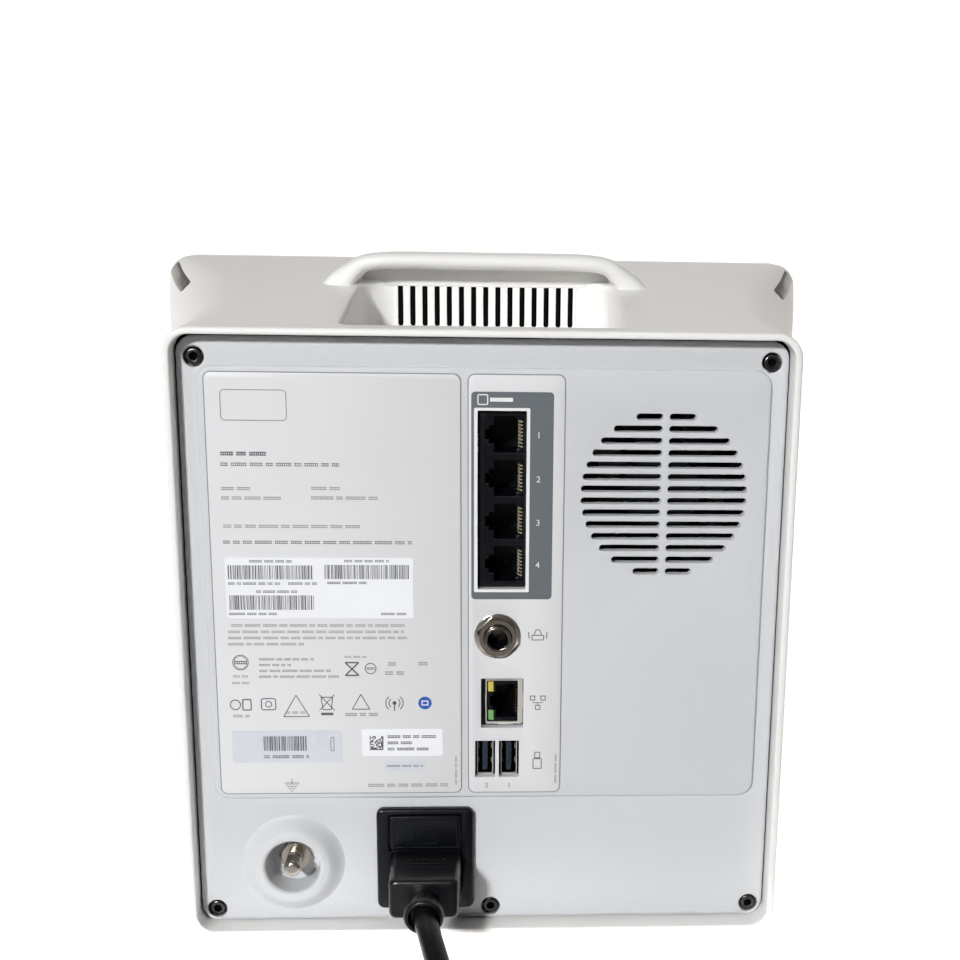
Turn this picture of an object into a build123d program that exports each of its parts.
from build123d import *
import math
import os

os.makedirs("parts", exist_ok=True)

# ----------------------------------------------------------------------------
# Patient monitor.  +Z up, front (display) faces -Y, connector panel faces +Y.
# Origin: middle of the footprint, on the standing surface.  Millimetres.
# ----------------------------------------------------------------------------

# Driving dimensions
y_front = -75.0          # front face of the bezel
y_split = -56.0          # joint between bezel and main housing
y_rim = 75.0             # rear edge of the housing rim
y_cover = 67.5           # face of the recessed rear cover
t_cover = 2.5            # rear cover plate
h_plateau = 1.7          # raised field on the rear cover
t_shell = 2.6            # housing wall
rim_hw = 103.9           # rear rim, half width
rim_z0, rim_z1 = 6.4, 219.7
front_hw = 126.0         # front, half width
front_z0, front_z1 = 5.0, 237.5
y_plate = y_cover + h_plateau

# stations of the housing: y, half width, bottom, top, corner radius
stations = [
    (y_split, front_hw, front_z0, front_z1, 9.0),
    (-22.0, 119.4, 5.3, 231.6, 22.0),
    (20.0, 110.9, 5.7, 224.8, 20.0),
    (50.0, 105.6, 6.1, 221.0, 13.0),
    (65.0, 104.1, 6.3, 219.9, 9.0),
    (y_rim, rim_hw, rim_z0, rim_z1, 8.5),
]

pocket_hw = 45.0         # handle pocket, half width
pocket_y0, pocket_y1 = -20.0, 61.4
pocket_floor = 206.6

vent_n, vent_pitch, vent_w = 15, 4.62, 1.9
vent_z0, vent_z1 = 213.8, 229.4

screws = [(94.9, 209.5), (-94.9, 209.5), (95.4, 13.9), (-1.9, 13.8), (-95.7, 13.9)]

# connector positions on the rear, as (x, z)
quad_x0, quad_x1, quad_z0, quad_z1 = -13.5, 2.8, 132.3, 193.0
port_pitch = 14.75
port_zc = 162.65
nurse = (-4.1, 115.7)
eth = (-6.45, 91.45)
usb = [(0.1, 71.0), (-8.2, 71.0)]
fan_c = (-60.0, 165.0)
boss_c = (67.8, 31.6)
inlet_c = (21.2, 33.5)
plug_c = (20.7, 28.6)

grille_rows = [9.95, 17.4, 21.6, 24.4, 26.3, 27.55, 28.05, 28.05, 27.5, 26.3, 24.35, 21.5, 17.35, 9.95]
grille_z0, grille_pitch, grille_h = 191.4, 4.062, 2.05

cord_d = 8.0


def back(y):
    """Sketch plane facing the front: local x is X, local y is Z, extrusion goes towards -Y."""
    return Plane(origin=(0, y, 0), x_dir=(1, 0, 0), z_dir=(0, -1, 0))


def save(part, name):
    part.label = name
    export_step(part, "parts/" + name + ".step")


# ----------------------------------------------------------------------------
# Housing
# ----------------------------------------------------------------------------
with BuildPart() as outer_form:
    for y, hw, z0, z1, r in stations:
        with BuildSketch(back(y)):
            with Locations((0, (z0 + z1) / 2)):
                RectangleRounded(2 * hw, z1 - z0, r)
    loft(ruled=True)

with BuildPart() as inner_form:
    for y, hw, z0, z1, r in stations[:4]:
        with BuildSketch(back(y)):
            with Locations((0, (z0 + z1) / 2)):
                RectangleRounded(2 * (hw - t_shell), z1 - z0 - 2 * t_shell, r - t_shell)
    with BuildSketch(back(62.0)):
        with Locations((0, (6.3 + 220.0) / 2)):
            RectangleRounded(2 * (104.3 - t_shell), 220.0 - 6.3 - 2 * t_shell, 8.0)
    loft(ruled=True)

strip_mid = (118.2, -39.5, 230.2)
strip_dir = Vector(-10.7, 29.0, -7.7).normalized()
strip_nrm = Vector(0.614, 0.405, 0.678)
strip_nrm = (strip_nrm - strip_dir * strip_nrm.dot(strip_dir)).normalized()


def strip_plane(side):
    return Plane(
        origin=(side * strip_mid[0], strip_mid[1], strip_mid[2]),
        x_dir=(side * strip_dir.X, strip_dir.Y, strip_dir.Z),
        z_dir=(side * strip_nrm.X, strip_nrm.Y, strip_nrm.Z),
    )


with BuildPart() as strip_tool:
    for side in (1, -1):
        with BuildSketch(strip_plane(side)):
            RectangleRounded(27.0, 4.6, 1.2)
        extrude(amount=9.0, both=True)

# hollow, leaving a tub around the handle pocket
with BuildPart() as hollow:
    add(inner_form.part)
    with Locations((0, (pocket_y0 - t_shell + 66.0) / 2, 204.0 + 25)):
        Box(2 * (pocket_hw + t_shell), 66.0 - pocket_y0 + t_shell, 50, mode=Mode.SUBTRACT)

with BuildPart() as main_housing:
    add(outer_form.part)
    add(hollow.part, mode=Mode.SUBTRACT)
    # ledge opening and the recess for the rear cover
    with BuildSketch(back(66.0)):
        with Locations((0, 112.4)):
            RectangleRounded(196.0, 200.4, 5.0)
        with Locations((0, 230.0)):
            Rectangle(2 * (pocket_hw + 2 * t_shell), 52.0, mode=Mode.SUBTRACT)
    extrude(amount=6.0, mode=Mode.SUBTRACT)
    with BuildSketch(back(y_rim)):
        with Locations((0, (8.9 + 217.3) / 2)):
            RectangleRounded(2 * 101.3, 217.3 - 8.9, 6.2)
    extrude(amount=y_rim - (y_cover - t_cover), mode=Mode.SUBTRACT)
    # screw posts
    for x, z in screws:
        with BuildSketch(back(61.8)):
            with Locations((x, z)):
                Circle(5.0)
            if abs(x) > 20:
                with Locations((x + math.copysign(6.0, x), z)):
                    Rectangle(12.0, 3.0)
            with Locations((x, z + (6.0 if z > 100 else -6.0))):
                Rectangle(3.0, 12.0)
        extrude(amount=24.0)
    add(outer_form.part, mode=Mode.INTERSECT)
    for x, z in screws:
        with BuildSketch(back(70.0)):
            with Locations((x, z)):
                Circle(5.8)
        extrude(amount=8.2, mode=Mode.SUBTRACT)
        with BuildSketch(back(70.0)):
            with Locations((x, z)):
                Circle(1.55)
        extrude(amount=26.0, mode=Mode.SUBTRACT)
    # handle pocket
    with BuildSketch(Plane.XY.offset(260.0)):
        with Locations((0, (pocket_y0 + pocket_y1) / 2)):
            RectangleRounded(2 * pocket_hw, pocket_y1 - pocket_y0, 4.0)
    extrude(amount=-(260.0 - pocket_floor), mode=Mode.SUBTRACT)
    # vent slots
    with BuildSketch(back(-10.0)):
        with Locations((0, (vent_z0 + vent_z1) / 2)):
            with GridLocations(vent_pitch, 1, vent_n, 1):
                SlotOverall(vent_z1 - vent_z0, vent_w, rotation=90)
    extrude(amount=16.0, mode=Mode.SUBTRACT)
    # corner light windows
    add(strip_tool.part, mode=Mode.SUBTRACT)
    # base opening for the mounting plate
    with BuildSketch(Plane.XY):
        Rectangle(100.6, 100.6)
    extrude(amount=9.5, mode=Mode.SUBTRACT)
    # speaker slots in the base
    with BuildSketch(Plane.XY):
        with Locations((-76.0, 44.0)):
            with GridLocations(3.6, 1, 6, 1):
                SlotOverall(16.0, 1.6, rotation=90)
    extrude(amount=10.5, mode=Mode.SUBTRACT)
save(main_housing.part, "main_housing")

with BuildPart() as wall_band:
    add(outer_form.part)
    add(inner_form.part, mode=Mode.SUBTRACT)
with BuildPart() as alarm_light_windows:
    add(strip_tool.part)
    add(wall_band.part, mode=Mode.INTERSECT)
save(alarm_light_windows.part, "alarm_light_windows")

# Carry handle: a flat arch over the pocket, its ends lying on the scooped top
with BuildPart() as carry_handle:
    with BuildSketch(back(-2.6)):
        with BuildLine():
            Polyline((61.5, 228.4), (56.6, 233.2), (52.8, 237.2), (47.7, 240.4), (40.0, 241.6), (30.0, 242.0), (-30.0, 242.0),
                     (-40.0, 241.6), (-47.7, 240.4), (-52.8, 237.2), (-56.6, 233.2), (-61.5, 228.4), (-61.5, 222.0), (-46.2, 222.0),
                     (-46.2, 231.0), (-43.0, 234.2), (-37.0, 235.2), (37.0, 235.2), (43.0, 234.2), (46.2, 231.0),
                     (46.2, 222.0), (61.5, 222.0), (61.5, 228.4))
        make_face()
    extrude(amount=17.2)
    add(outer_form.part, mode=Mode.SUBTRACT)
save(carry_handle.part, "carry_handle")

# ----------------------------------------------------------------------------
# Front: bezel, display, dock
# ----------------------------------------------------------------------------
zc_f, h_f = (front_z0 + front_z1) / 2, front_z1 - front_z0
glass_zc, glass_w, glass_h = 92.0, 232.0, 140.0
bay_zc, bay_w, bay_h = 198.0, 216.0, 54.0

with BuildPart() as front_bezel:
    with BuildSketch(back(y_split)):
        with Locations((0, zc_f)):
            RectangleRounded(2 * front_hw, h_f, 9.0)
    extrude(amount=15.0)
    with BuildSketch(back(y_split - 15.0)):
        with Locations((0, zc_f)):
            RectangleRounded(2 * front_hw, h_f, 9.0)
    extrude(amount=4.0, taper=18)
    with BuildSketch(back(y_split)):
        with Locations((0, zc_f)):
            RectangleRounded(2 * (front_hw - t_shell), h_f - 2 * t_shell, 6.4)
    extrude(amount=16.0, mode=Mode.SUBTRACT)
    # glass pocket and display window
    with BuildSketch(back(y_front)):
        with Locations((0, glass_zc)):
            RectangleRounded(glass_w + 0.6, glass_h + 0.6, 5.3)
    extrude(amount=-1.8, mode=Mode.SUBTRACT)
    with BuildSketch(back(y_front)):
        with Locations((0, glass_zc + 1.0)):
            Rectangle(220.0, 130.0)
    extrude(amount=-6.0, mode=Mode.SUBTRACT)
    # dock bay
    with BuildSketch(back(y_front)):
        with Locations((0, bay_zc)):
            RectangleRounded(bay_w + 0.6, bay_h + 0.6, 5.3)
    extrude(amount=-6.0, mode=Mode.SUBTRACT)
    # buttons
    with BuildSketch(back(y_front)):
        with Locations((0, 13.4)):
            SlotOverall(16.8, 7.8)
        with Locations((-104.0, 13.4)):
            Circle(4.4)
        with Locations((114.6, 198.0)):
            SlotOverall(18.8, 6.8, rotation=90)
    extrude(amount=-6.0, mode=Mode.SUBTRACT)
save(front_bezel.part, "front_bezel")

with BuildPart() as display_glass:
    with BuildSketch(back(y_front + 1.2)):
        with Locations((0, glass_zc)):
            RectangleRounded(glass_w, glass_h, 5.0)
    extrude(amount=1.1)
save(display_glass.part, "display_glass")

with BuildPart() as display_gasket:
    with BuildSketch(back(y_front + 1.8)):
        with Locations((0, glass_zc)):
            RectangleRounded(glass_w - 0.4, glass_h - 0.4, 4.8)
        with Locations((0, glass_zc + 1.0)):
            Rectangle(220.0, 130.0, mode=Mode.SUBTRACT)
    extrude(amount=0.6)
save(display_gasket.part, "display_gasket")

with BuildPart() as lcd_module:
    with BuildSketch(back(-63.5)):
        with Locations((0, glass_zc + 1.0)):
            Rectangle(230.0, 138.0)
    extrude(amount=7.5)
save(lcd_module.part, "lcd_module")

with BuildPart() as dock_cradle:
    with BuildSketch(back(-30.0)):
        with Locations((0, bay_zc)):
            RectangleRounded(bay_w, bay_h, 5.0)
    extrude(amount=44.6)
    with BuildSketch(back(-32.4)):
        with Locations((0, bay_zc)):
            RectangleRounded(bay_w - 4.8, bay_h - 4.8, 3.0)
    extrude(amount=60.0, mode=Mode.SUBTRACT)
    # connector window and latch slot
    with BuildSketch(back(-20.0)):
        with Locations((0, 186.0)):
            Rectangle(42.6, 8.6)
    extrude(amount=20.0, mode=Mode.SUBTRACT)
    with BuildSketch(Plane.YZ.offset(100.0)):
        with Locations((-58.0, 198.0)):
            Rectangle(8.6, 14.6)
    extrude(amount=12.0, mode=Mode.SUBTRACT)
save(dock_cradle.part, "dock_cradle")

with BuildPart() as dock_connector:
    with BuildSketch(back(-29.0)):
        with Locations((0, 186.0)):
            Rectangle(42.0, 8.0)
    extrude(amount=6.5)
    with BuildSketch(back(-26.5)):
        with Locations((0, 186.0)):
            Rectangle(46.0, 12.0)
    extrude(amount=2.5)
    with BuildSketch(back(-35.5)):
        with Locations((0, 186.0)):
            Rectangle(36.0, 3.0)
    extrude(amount=-4.0, mode=Mode.SUBTRACT)
save(dock_connector.part, "dock_connector")

with BuildPart() as dock_latch:
    # wedge hook that looks into the bay through the cradle's side wall
    with BuildSketch(Plane.XY.offset(191.0)):
        with BuildLine():
            Polyline((102.6, -54.0), (112.6, -54.0), (112.6, -62.0), (105.4, -62.0), (102.6, -57.0), (102.6, -54.0))
        make_face()
    extrude(amount=14.0)
save(dock_latch.part, "dock_latch")

with BuildPart() as dock_release_button:
    with BuildSketch(back(y_front)):
        with Locations((114.6, 198.0)):
            SlotOverall(18.0, 6.0, rotation=90)
    extrude(amount=-3.2)
    fillet(dock_release_button.faces().sort_by(Axis.Y)[0].edges(), 0.8)
    with BuildSketch(back(y_front + 3.1)):
        with Locations((114.6, 198.0)):
            SlotOverall(21.0, 8.4, rotation=90)
    extrude(amount=-1.4)
save(dock_release_button.part, "dock_release_button")

with BuildPart() as home_button:
    with BuildSketch(back(y_front)):
        with Locations((0, 13.4)):
            SlotOverall(16.0, 7.0)
    extrude(amount=-3.2)
    fillet(home_button.faces().sort_by(Axis.Y)[0].edges(), 0.8)
    with BuildSketch(back(y_front + 3.1)):
        with Locations((0, 13.4)):
            SlotOverall(18.4, 8.8)
    extrude(amount=-1.4)
save(home_button.part, "home_button")

with BuildPart() as power_button:
    with BuildSketch(back(y_front)):
        with Locations((-104.0, 13.4)):
            Circle(4.0)
    extrude(amount=-3.2)
    fillet(power_button.faces().sort_by(Axis.Y)[0].edges(), 0.8)
    with BuildSketch(back(y_front + 3.1)):
        with Locations((-104.0, 13.4)):
            Circle(5.0)
    extrude(amount=-1.4)
save(power_button.part, "power_button")

# ----------------------------------------------------------------------------
# Base
# ----------------------------------------------------------------------------
with BuildPart() as base_mount_plate:
    with BuildSketch(Plane.XY.offset(3.6)):
        RectangleRounded(100.0, 100.0, 3.0)
    extrude(amount=5.4)
    with BuildSketch(Plane.XY.offset(9.0)):
        with Locations((0, -9.0)):
            Rectangle(112.0, 90.0)
    extrude(amount=1.8)
    with BuildSketch(Plane.XY):
        with GridLocations(75.0, 75.0, 2, 2):
            Circle(2.1)
    extrude(amount=20.0, mode=Mode.SUBTRACT)
save(base_mount_plate.part, "base_mount_plate")

with BuildPart() as rubber_feet:
    with BuildSketch(Plane.XY):
        with Locations((100.0, -48.0), (-100.0, -48.0), (88.0, 54.0), (-88.0, 54.0)):
            Circle(8.0)
    extrude(amount=8.0)
    add(outer_form.part, mode=Mode.SUBTRACT)
    chamfer(rubber_feet.faces().group_by(Axis.Z)[0].edges(), 0.8)
save(rubber_feet.part, "rubber_feet")

# ----------------------------------------------------------------------------
# Inside: chassis, boards, supply, battery, speaker
# ----------------------------------------------------------------------------
with BuildPart() as chassis_frame:
    with BuildSketch(Plane.XY.offset(10.8)):
        with Locations((0, -8.5)):
            Rectangle(180.0, 87.0)
    extrude(amount=1.4)
    with BuildSketch(back(-52.0)):
        with Locations((0, 86.5)):
            Rectangle(200.0, 151.4)
    extrude(amount=1.6)
    with BuildSketch(Plane.XY):
        with GridLocations(75.0, 75.0, 2, 2):
            Circle(4.0)
    extrude(amount=16.0, mode=Mode.SUBTRACT)
save(chassis_frame.part, "chassis_frame")

with BuildPart() as main_board:
    with BuildSketch(back(-50.4)):
        with Locations((0, 118.0)):
            Rectangle(180.0, 84.0)
    extrude(amount=1.6)
    for cx, cz, w, h, d in ((-40, 120, 32, 32, 3.0), (10, 135, 20, 20, 1.6), (50, 110, 26, 14, 6.0), (-70, 95, 16, 12, 4.0)):
        with BuildSketch(back(-50.4)):
            with Locations((cx, cz)):
                Rectangle(w, h)
        extrude(amount=-d)
save(main_board.part, "main_board")

with BuildPart() as wireless_module:
    with BuildSketch(back(-48.8)):
        with Locations((-62.0, 149.0)):
            Rectangle(30.0, 22.0)
    extrude(amount=1.6)
save(wireless_module.part, "wireless_module")

with BuildPart() as power_supply:
    with BuildSketch(Plane.XY.offset(12.2)):
        with Locations((44.0, -8.0)):
            RectangleRounded(86.0, 76.0, 2.0)
    extrude(amount=44.0)
save(power_supply.part, "power_supply")

with BuildPart() as battery_pack:
    with BuildSketch(Plane.XY.offset(12.2)):
        with Locations((-48.0, -12.0)):
            RectangleRounded(80.0, 72.0, 4.0)
    extrude(amount=22.0)
save(battery_pack.part, "battery_pack")

with BuildPart() as speaker:
    with BuildSketch(Plane.XY.offset(12.2)):
        with Locations((-76.0, 38.0)):
            RectangleRounded(26.0, 26.0, 2.0)
    extrude(amount=12.0)
    with BuildSketch(Plane.XY.offset(24.2)):
        with Locations((-76.0, 38.0)):
            Circle(9.0)
    extrude(amount=4.0)
save(speaker.part, "speaker")

# ----------------------------------------------------------------------------
# Rear cover
# ----------------------------------------------------------------------------
with BuildPart() as rear_cover:
    with BuildSketch(back(y_cover)):
        with Locations((0, (9.3 + 216.9) / 2)):
            RectangleRounded(2 * 100.9, 216.9 - 9.3, 5.8)
    extrude(amount=t_cover)
    chamfer(rear_cover.faces().sort_by(Axis.Y)[-1].edges(), 1.4)
    # raised field
    with BuildSketch(back(y_cover)):
        with Locations((-0.3, 131.7)):
            RectangleRounded(189.4, 150.6, 5.4)
    extrude(amount=-h_plateau)
    # screw seats
    for x, z in screws:
        with BuildSketch(back(y_cover - t_cover)):
            with Locations((x, z)):
                Circle(5.4)
        extrude(amount=3.0)
    # conical boss
    with BuildSketch(back(y_cover)):
        with Locations(boss_c):
            Circle(18.3)
    with BuildSketch(back(y_cover + 4.6)):
        with Locations(boss_c):
            Circle(11.6)
    loft()
    with BuildSketch(back(y_cover)):
        with Locations(boss_c):
            Circle(11.6)
    extrude(amount=9.0)
    with BuildSketch(back(y_cover + 6.0)):
        with Locations(boss_c):
            Circle(9.4)
    extrude(amount=13.4, mode=Mode.SUBTRACT)
    with BuildSketch(back(y_cover + 6.0)):
        with Locations(boss_c):
            Circle(2.6)
    extrude(amount=20.0, mode=Mode.SUBTRACT)
    # screw holes
    for x, z in screws:
        with BuildSketch(back(y_cover + 6.0)):
            with Locations((x, z)):
                Circle(3.3)
        extrude(amount=9.5, mode=Mode.SUBTRACT)
        with BuildSketch(back(y_cover + 6.0)):
            with Locations((x, z)):
                Circle(1.8)
        extrude(amount=20.0, mode=Mode.SUBTRACT)
    # connector openings
    with BuildSketch(back(y_cover + 6.0)):
        with Locations(((quad_x0 + quad_x1) / 2, (quad_z0 + quad_z1) / 2)):
            Rectangle(quad_x1 - quad_x0, quad_z1 - quad_z0)
        with Locations(nurse):
            Circle(4.95)
        with Locations((eth[0] + 0.7, eth[1])):
            Rectangle(14.7, 18.0)
        with Locations(*usb):
            Rectangle(7.0, 13.5)
        with Locations(inlet_c):
            Rectangle(28.6, 32.6)
    extrude(amount=12.0, mode=Mode.SUBTRACT)
    # round grille
    with BuildSketch(back(y_cover + 6.0)):
        for i, hw in enumerate(grille_rows):
            z = grille_z0 - i * grille_pitch
            with Locations((fan_c[0] - (1.15 + hw) / 2, z), (fan_c[0] + (1.15 + hw) / 2, z)):
                SlotOverall(hw - 1.15, grille_h)
    extrude(amount=12.0, mode=Mode.SUBTRACT)
    # fan screw holes
    with BuildSketch(back(y_cover - t_cover)):
        with Locations(fan_c):
            with GridLocations(50.0, 50.0, 2, 2):
                Circle(1.3)
    extrude(amount=-2.0, mode=Mode.SUBTRACT)
save(rear_cover.part, "rear_cover")

with BuildPart() as rear_label:
    with BuildSketch(back(y_plate)):
        with Locations(((91.6 + 8.5) / 2, (58.7 + 204.8) / 2)):
            RectangleRounded(83.1, 146.1, 2.2)
    extrude(amount=-0.25)
save(rear_label.part, "rear_label")

with BuildPart() as port_label:
    with BuildSketch(back(y_plate)):
        with Locations(((5.75 - 26.0) / 2, (58.7 + 204.8) / 2)):
            RectangleRounded(31.75, 146.1, 2.2)
        with Locations(((quad_x0 + quad_x1) / 2, (quad_z0 + quad_z1) / 2)):
            Rectangle(quad_x1 - quad_x0, quad_z1 - quad_z0, mode=Mode.SUBTRACT)
        with Locations(nurse):
            Circle(7.9, mode=Mode.SUBTRACT)
        with Locations((eth[0] + 0.7, eth[1])):
            Rectangle(14.7, 18.0, mode=Mode.SUBTRACT)
        with Locations(*usb):
            Rectangle(7.0, 13.5, mode=Mode.SUBTRACT)
    extrude(amount=-0.25)
save(port_label.part, "port_label")

with BuildPart() as rear_screws:
    for x, z in screws:
        with BuildSketch(back(67.1)):
            with Locations((x, z)):
                Circle(2.9)
        extrude(amount=3.1)
        with BuildSketch(back(64.0)):
            with Locations((x, z)):
                Circle(1.45)
        extrude(amount=14.0)
        with BuildSketch(back(68.0)):
            with Locations((x, z)):
                RegularPolygon(1.45, 6)
        extrude(amount=2.7, mode=Mode.SUBTRACT)
save(rear_screws.part, "rear_screws")

# ----------------------------------------------------------------------------
# Connectors
# ----------------------------------------------------------------------------
quad_xc = (quad_x0 + quad_x1) / 2
port_zs = [port_zc + (i - 1.5) * port_pitch for i in range(4)]
with BuildPart() as module_jack_block:
    with BuildSketch(back(66.6)):
        with Locations((quad_xc, port_zc)):
            Rectangle(15.9, 60.3)
    extrude(amount=21.0)
    with BuildSketch(back(67.0)):
        for z in port_zs:
            with Locations((quad_xc - 0.9, z)):
                Rectangle(9.4, 12.0)
            with Locations((quad_xc + 4.9, z)):
                Rectangle(3.2, 6.2)
    extrude(amount=15.0, mode=Mode.SUBTRACT)
    # grooves in the contact wall
    with BuildSketch(back(67.0)):
        for z in port_zs:
            with Locations((quad_xc - 5.9, z)):
                with GridLocations(1, 1.2, 1, 8):
                    Rectangle(1.3, 0.8)
    extrude(amount=12.0, mode=Mode.SUBTRACT)
save(module_jack_block.part, "module_jack_block")

with BuildPart() as module_jack_contacts:
    for z in port_zs:
        with BuildSketch(back(65.0)):
            with Locations((quad_xc - 5.95, z)):
                with GridLocations(1, 1.2, 1, 8):
                    Rectangle(0.9, 0.4)
        extrude(amount=9.0)
save(module_jack_contacts.part, "module_jack_contacts")

with BuildPart() as ethernet_jack_shell:
    with BuildSketch(back(67.0)):
        with Locations(eth):
            Rectangle(12.9, 16.5)
    extrude(amount=21.0)
    with BuildSketch(back(68.0)):
        with Locations(eth):
            Rectangle(12.3, 15.9)
    extrude(amount=20.0, mode=Mode.SUBTRACT)
save(ethernet_jack_shell.part, "ethernet_jack_shell")

with BuildPart() as ethernet_jack_insert:
    with BuildSketch(back(66.6)):
        with Locations(eth):
            Rectangle(12.2, 15.8)
    extrude(amount=18.4)
    with BuildSketch(back(67.0)):
        with Locations((eth[0] - 1.1, eth[1])):
            Rectangle(7.6, 12.0)
        with Locations((eth[0] + 3.7, eth[1])):
            Rectangle(2.2, 6.0)
    extrude(amount=14.0, mode=Mode.SUBTRACT)
    with BuildSketch(back(67.0)):
        with Locations((eth[0] + 4.6, eth[1] + 5.2), (eth[0] + 4.6, eth[1] - 5.2)):
            Rectangle(2.8, 3.4)
    extrude(amount=3.4, mode=Mode.SUBTRACT)
    with BuildSketch(back(67.0)):
        with Locations((eth[0] - 5.1, eth[1])):
            with GridLocations(1, 1.15, 1, 8):
                Rectangle(0.8, 0.7)
    extrude(amount=11.0, mode=Mode.SUBTRACT)
save(ethernet_jack_insert.part, "ethernet_jack_insert")

with BuildPart() as ethernet_jack_contacts:
    with BuildSketch(back(65.0)):
        with Locations((eth[0] - 5.1, eth[1])):
            with GridLocations(1, 1.15, 1, 8):
                Rectangle(0.6, 0.4)
    extrude(amount=9.0)
save(ethernet_jack_contacts.part, "ethernet_jack_contacts")

with BuildPart() as ethernet_lamps:
    with BuildSketch(back(66.7)):
        with Locations((eth[0] + 4.6, eth[1] + 5.2), (eth[0] + 4.6, eth[1] - 5.2)):
            Rectangle(2.6, 3.2)
    extrude(amount=3.0)
save(ethernet_lamps.part, "ethernet_lamps")

with BuildPart() as usb_shells:
    for c in usb:
        with BuildSketch(back(66.8)):
            with Locations(c):
                RectangleRounded(5.7, 13.1, 0.5)
        extrude(amount=14.0)
        with BuildSketch(back(68.0)):
            with Locations(c):
                Rectangle(5.1, 12.5)
        extrude(amount=13.2, mode=Mode.SUBTRACT)
save(usb_shells.part, "usb_shells")

with BuildPart() as usb_tongues:
    for c in usb:
        with BuildSketch(back(65.2)):
            with Locations((c[0] + 1.1, c[1])):
                Rectangle(1.9, 11.3)
        extrude(amount=10.3)
save(usb_tongues.part, "usb_tongues")

with BuildPart() as nurse_call_jack:
    with BuildSketch(back(64.9)):
        with Locations(nurse):
            Rectangle(15.6, 15.6)
    extrude(amount=22.0)
    with BuildSketch(back(64.9)):
        with Locations(nurse):
            Circle(4.7)
    extrude(amount=-9.3)
    chamfer(nurse_call_jack.faces().sort_by(Axis.Y)[-1].edges(), 0.5)
    with BuildSketch(back(80.0)):
        with Locations(nurse):
            Circle(3.25)
    extrude(amount=34.0, mode=Mode.SUBTRACT)
save(nurse_call_jack.part, "nurse_call_jack")

with BuildPart() as nurse_call_nut:
    with BuildSketch(back(y_plate + 0.05)):
        with Locations(nurse):
            RegularPolygon(7.6, 6, rotation=15)
            Circle(4.8, mode=Mode.SUBTRACT)
    extrude(amount=-3.0)
save(nurse_call_nut.part, "nurse_call_nut")

with BuildPart() as io_board:
    with BuildSketch(Plane.YZ.offset(-15.4)):
        with Locations((22.0, 128.0)):
            Rectangle(84.0, 142.0)
    extrude(amount=1.6)
save(io_board.part, "io_board")

with BuildPart() as equipotential_pin:
    with BuildSketch(back(73.5)):
        with Locations(boss_c):
            Circle(3.0)
    extrude(amount=13.0)
    fillet(equipotential_pin.faces().sort_by(Axis.Y)[-1].edges(), 0.7)
    with BuildSketch(back(62.0)):
        with Locations(boss_c):
            RegularPolygon(6.0, 6)
    extrude(amount=1.9)
    with BuildSketch(back(60.5)):
        with Locations(boss_c):
            Circle(2.4)
    extrude(amount=12.0)
save(equipotential_pin.part, "equipotential_pin")

with BuildPart() as equipotential_nut:
    with BuildSketch(back(58.45)):
        with Locations(boss_c):
            RegularPolygon(5.2, 6)
            Circle(2.45, mode=Mode.SUBTRACT)
    extrude(amount=3.2)
save(equipotential_nut.part, "equipotential_nut")

# ----------------------------------------------------------------------------
# Power entry module
# ----------------------------------------------------------------------------
drawer_c = (inlet_c[0], 43.6)
with BuildPart() as power_inlet:
    with BuildSketch(back(y_cover)):
        with Locations(inlet_c):
            RectangleRounded(34.3, 38.1, 2.4)
    extrude(amount=-2.0)
    with BuildSketch(back(y_cover)):
        with Locations(inlet_c):
            Rectangle(28.2, 32.2)
    extrude(amount=28.0)
    with BuildSketch(back(72.0)):
        with Locations(plug_c):
            RectangleRounded(24.8, 16.6, 1.0)
    extrude(amount=19.5, mode=Mode.SUBTRACT)
    with BuildSketch(back(72.0)):
        with Locations(drawer_c):
            Rectangle(22.6, 9.6)
    extrude(amount=28.5, mode=Mode.SUBTRACT)
    # seats of the three pins
    with BuildSketch(back(60.0)):
        with Locations((plug_c[0] - 7, plug_c[1] - 2), (plug_c[0] + 7, plug_c[1] - 2), (plug_c[0], plug_c[1] + 2)):
            Rectangle(2.0, 4.0)
    extrude(amount=30.0, mode=Mode.SUBTRACT)
save(power_inlet.part, "power_inlet")

with BuildPart() as inlet_pins:
    with BuildSketch(back(67.0)):
        with Locations((plug_c[0] - 7, plug_c[1] - 2), (plug_c[0] + 7, plug_c[1] - 2), (plug_c[0], plug_c[1] + 2)):
            Rectangle(2.0, 4.0)
    extrude(amount=33.0)
save(inlet_pins.part, "inlet_pins")

with BuildPart() as fuse_drawer:
    with BuildSketch(back(y_cover + 2.1)):
        with Locations(drawer_c):
            RectangleRounded(25.4, 11.6, 1.0)
    extrude(amount=-1.7)
    with BuildSketch(back(y_cover + 2.1)):
        with Locations(drawer_c):
            Rectangle(22.0, 9.0)
    extrude(amount=26.0)
    for dx in (-5.4, 5.4):
        with BuildSketch(Plane.XY.offset(drawer_c[1] + 5.0)):
            with Locations((drawer_c[0] + dx, 56.0)):
                Rectangle(6.0, 21.0)
        extrude(amount=-8.0, mode=Mode.SUBTRACT)
save(fuse_drawer.part, "fuse_drawer")

with BuildPart() as fuses:
    with BuildSketch(back(66.0)):
        with Locations((drawer_c[0] - 5.4, drawer_c[1] + 0.0), (drawer_c[0] + 5.4, drawer_c[1] + 0.0)):
            Circle(2.5)
    extrude(amount=20.0)
save(fuses.part, "fuses")

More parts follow.
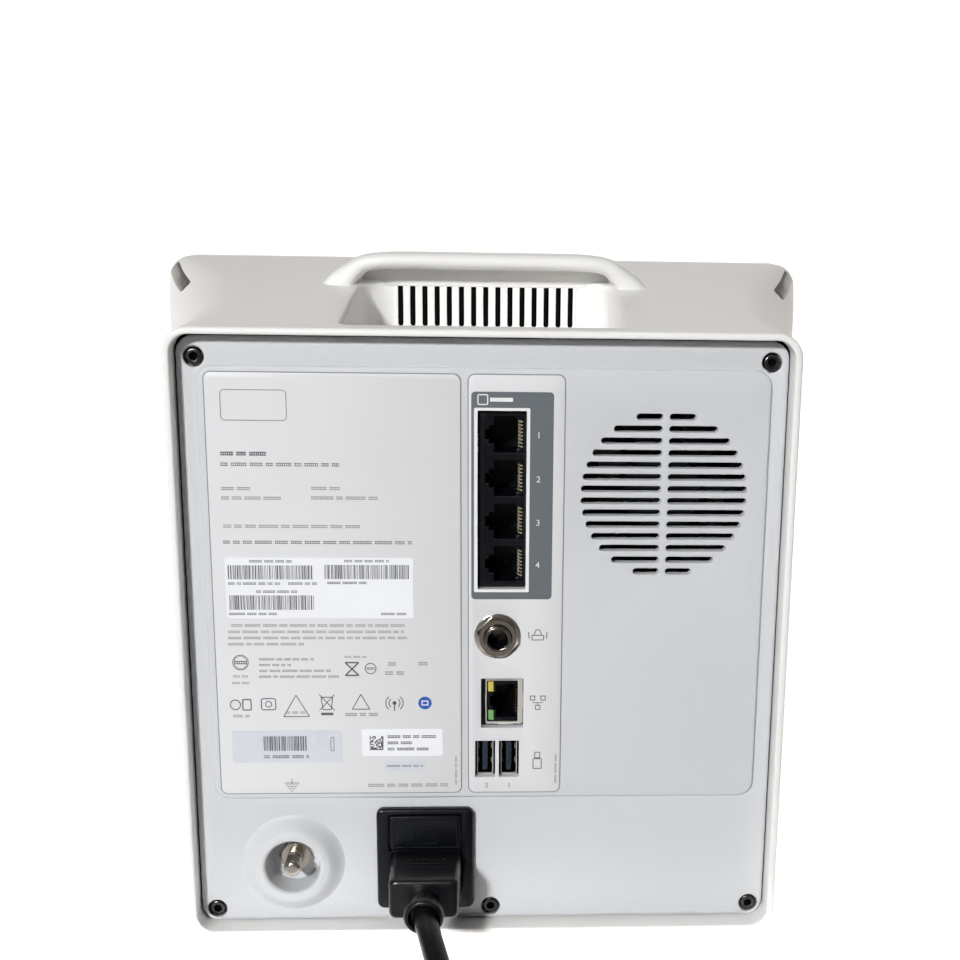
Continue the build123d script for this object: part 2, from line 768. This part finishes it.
# ----------------------------------------------------------------------------
# Fan
# ----------------------------------------------------------------------------
fan_y1, fan_t = 64.6, 15.0
with BuildPart() as fan_frame:
    with BuildSketch(back(fan_y1)):
        with Locations(fan_c):
            RectangleRounded(60.0, 60.0, 4.0)
            Circle(28.8, mode=Mode.SUBTRACT)
            with GridLocations(50.0, 50.0, 2, 2):
                Circle(2.1, mode=Mode.SUBTRACT)
    extrude(amount=fan_t)
    # motor seat and its four struts
    with BuildSketch(back(fan_y1 - fan_t + 1.6)):
        with Locations(fan_c):
            Circle(14.0)
            Rectangle(58.6, 2.4)
            Rectangle(2.4, 58.6)
    extrude(amount=1.6)
    with BuildSketch(back(fan_y1 - fan_t + 8.0)):
        with Locations(fan_c):
            Circle(3.0)
    extrude(amount=6.4)
save(fan_frame.part, "fan_frame")

with BuildPart() as fan_rotor:
    with BuildSketch(back(fan_y1 - 1.0)):
        with Locations(fan_c):
            Circle(13.0)
    extrude(amount=11.5)
    with BuildSketch(back(fan_y1 - 2.6)):
        with Locations(fan_c):
            Circle(3.4)
    extrude(amount=20.0, mode=Mode.SUBTRACT)
    for k in range(7):
        a = 360.0 / 7 * k
        blade_plane = Plane(
            origin=(fan_c[0], fan_y1 - 6.8, fan_c[1]),
            x_dir=(0, 1, 0),
            z_dir=(math.cos(math.radians(a)), 0, math.sin(math.radians(a))),
        )
        with BuildSketch(blade_plane.offset(12.4)):
            Rectangle(9.0, 1.4, rotation=38)
        with BuildSketch(blade_plane.offset(27.4)):
            Rectangle(9.6, 1.4, rotation=24)
        loft()
save(fan_rotor.part, "fan_rotor")

with BuildPart() as fan_screws:
    with BuildSketch(back(fan_y1 - fan_t)):
        with Locations(fan_c):
            with GridLocations(50.0, 50.0, 2, 2):
                Circle(3.0)
    extrude(amount=2.0)
    with BuildSketch(back(fan_y1 - fan_t)):
        with Locations(fan_c):
            with GridLocations(50.0, 50.0, 2, 2):
                Circle(1.2)
    extrude(amount=-fan_t - 1.6)
save(fan_screws.part, "fan_screws")

# ----------------------------------------------------------------------------
# Mains lead: connector, strain relief, cord, coil, tie, wall plug
# ----------------------------------------------------------------------------
with BuildPart() as mains_plug_body:
    with BuildSketch(back(95.5)):
        with Locations((20.9, 30.0)):
            RectangleRounded(23.8, 14.4, 2.2)
    with BuildSketch(back(80.0)):
        with Locations((plug_c[0], 29.0)):
            RectangleRounded(24.2, 16.4, 2.2)
    with BuildSketch(back(69.8)):
        with Locations((plug_c[0], 29.0)):
            RectangleRounded(24.2, 16.4, 2.2)
    loft(ruled=True)
    with BuildSketch(back(69.8)):
        with Locations(plug_c):
            RectangleRounded(24.0, 15.8, 1.0)
    extrude(amount=15.0)
    with BuildSketch(back(54.0)):
        with Locations((plug_c[0] - 7, plug_c[1] - 2), (plug_c[0] + 7, plug_c[1] - 2), (plug_c[0], plug_c[1] + 2)):
            Rectangle(2.8, 4.8)
    extrude(amount=-14.0, mode=Mode.SUBTRACT)
save(mains_plug_body.part, "mains_plug_body")

relief_y0, relief_y1 = 95.5, 106.5
with BuildPart() as mains_plug_relief:
    with BuildSketch(Plane(origin=(plug_c[0], 0, plug_c[1]), x_dir=(1, 0, 0), z_dir=(0, 0, 1))):
        with BuildLine():
            Polyline((0, relief_y0), (5.2, relief_y0), (6.0, relief_y0 + 4.0), (6.8, relief_y0 + 8.5), (6.8, relief_y1),
                     (5.5, relief_y1), (5.5, relief_y0 + 9.0), (0, relief_y0 + 9.0), (0, relief_y0))
        make_face()
    revolve(axis=Axis((plug_c[0], 0, plug_c[1]), (0, 1, 0)))
save(mains_plug_relief.part, "mains_plug_relief")

coil_c = (-43.5, 190.0)
coil_z0, coil_z1 = 1.0, 25.6
coil_ro, coil_ri = 53.0, 27.0
tie_a = 60.0

cord_route = [
    (20.5, 103.5, 28.2),
    (18.2, 113.2, 25.0),
    (15.2, 121.7, 19.6),
    (12.5, 130.1, 13.9),
    (9.9, 139.7, 10.5),
    (7.9, 149.9, 9.0),
    (6.4, 160.2, 8.0),
    (5.5, 170.4, 7.3),
]


def corner_radii(points):
    radii = []
    for a, b, c in zip(points, points[1:], points[2:]):
        va, vb = Vector(*b) - Vector(*a), Vector(*c) - Vector(*b)
        turn = math.radians(va.get_angle(vb))
        radii.append(0.45 * min(va.length, vb.length) / math.tan(turn / 2))
    return radii


radii = corner_radii(cord_route)
print("cord corner radii", [round(r, 1) for r in radii])
with BuildPart() as mains_cord:
    with BuildLine() as cord_line:
        FilletPolyline(*cord_route, radius=radii)
    with BuildSketch(Plane(origin=cord_line.line @ 0, z_dir=cord_line.line % 0)):
        Circle(cord_d / 2)
    sweep(path=cord_line.line)
print("cord length", round(cord_line.wires()[0].length, 2), "volume ratio",
      round(mains_cord.part.volume / (math.pi * (cord_d / 2) ** 2 * cord_line.wires()[0].length), 4))
save(mains_cord.part, "mains_cord")

with BuildPart() as tie_cut:
    with BuildSketch(Plane(origin=(coil_c[0], coil_c[1], 0), x_dir=(math.cos(math.radians(tie_a)), math.sin(math.radians(tie_a)), 0), z_dir=(0, 0, 1))):
        with Locations(((coil_ro + coil_ri) / 2 - 0.4, 0)):
            Rectangle(coil_ro - coil_ri + 4.0, 14.0)
            Rectangle(coil_ro - coil_ri + 1.6, 14.0, mode=Mode.SUBTRACT)
    extrude(amount=27.0)
    for z in (0.0, 25.8):
        with BuildSketch(Plane(origin=(coil_c[0], coil_c[1], z), x_dir=(math.cos(math.radians(tie_a)), math.sin(math.radians(tie_a)), 0), z_dir=(0, 0, 1))):
            with Locations(((coil_ro + coil_ri) / 2 - 0.4, 0)):
                Rectangle(coil_ro - coil_ri + 4.0, 14.0)
        extrude(amount=0.9 if z == 0.0 else 1.2)
save(tie_cut.part, "cord_tie")

with BuildPart() as mains_cord_coil:
    with BuildSketch(Plane.XY.offset(coil_z0)):
        with Locations(coil_c):
            Circle(coil_ro)
            Circle(coil_ri, mode=Mode.SUBTRACT)
    extrude(amount=coil_z1 - coil_z0)
save(mains_cord_coil.part, "mains_cord_coil")

# wall plug lies on the coil, along a chord
wp_x0 = -100.5
wp_y = coil_c[1] + 20.0
wp_z = coil_z1 + 11.6
with BuildPart() as wall_plug:
    with BuildSketch(Plane.YZ.offset(wp_x0)):
        with Locations((wp_y, wp_z)):
            RectangleRounded(25.0, 22.0, 5.0)
    extrude(amount=34.0)
save(wall_plug.part, "wall_plug")

with BuildPart() as wall_plug_relief:
    with BuildSketch(Plane.YZ.offset(wp_x0 + 34.0)):
        with Locations((wp_y, wp_z)):
            Circle(7.0)
    with BuildSketch(Plane.YZ.offset(wp_x0 + 56.0)):
        with Locations((wp_y, wp_z)):
            Circle(4.6)
    loft()
save(wall_plug_relief.part, "wall_plug_relief")

with BuildPart() as wall_plug_blades:
    with BuildSketch(Plane.YZ.offset(wp_x0)):
        with Locations((wp_y - 6.35, wp_z + 2.0), (wp_y + 6.35, wp_z + 2.0)):
            Rectangle(1.5, 6.4)
        with Locations((wp_y, wp_z - 6.0)):
            Circle(2.4)
    extrude(amount=-18.0)
save(wall_plug_blades.part, "wall_plug_blades")

tail_route = [
    (wp_x0 + 56.0, wp_y, wp_z),
    (-29.5, wp_y, wp_z - 0.9),
    (-15.6, 204.3, 33.4),
    (-5.0, 193.7, 29.2),
    (0.7, 179.8, 25.2),
    (0.7, 165.3, 22.4),
]
tail_radii = corner_radii(tail_route)
print("tail corner radii", [round(r, 1) for r in tail_radii])
with BuildPart() as mains_cord_tail:
    with BuildLine() as tail_line:
        FilletPolyline(*tail_route, radius=tail_radii)
    with BuildSketch(Plane(origin=tail_line.line @ 0, z_dir=tail_line.line % 0)):
        Circle(cord_d / 2)
    sweep(path=tail_line.line)
print("tail length", round(tail_line.wires()[0].length, 2), "volume ratio",
      round(mains_cord_tail.part.volume / (math.pi * (cord_d / 2) ** 2 * tail_line.wires()[0].length), 4))
save(mains_cord_tail.part, "mains_cord_tail")
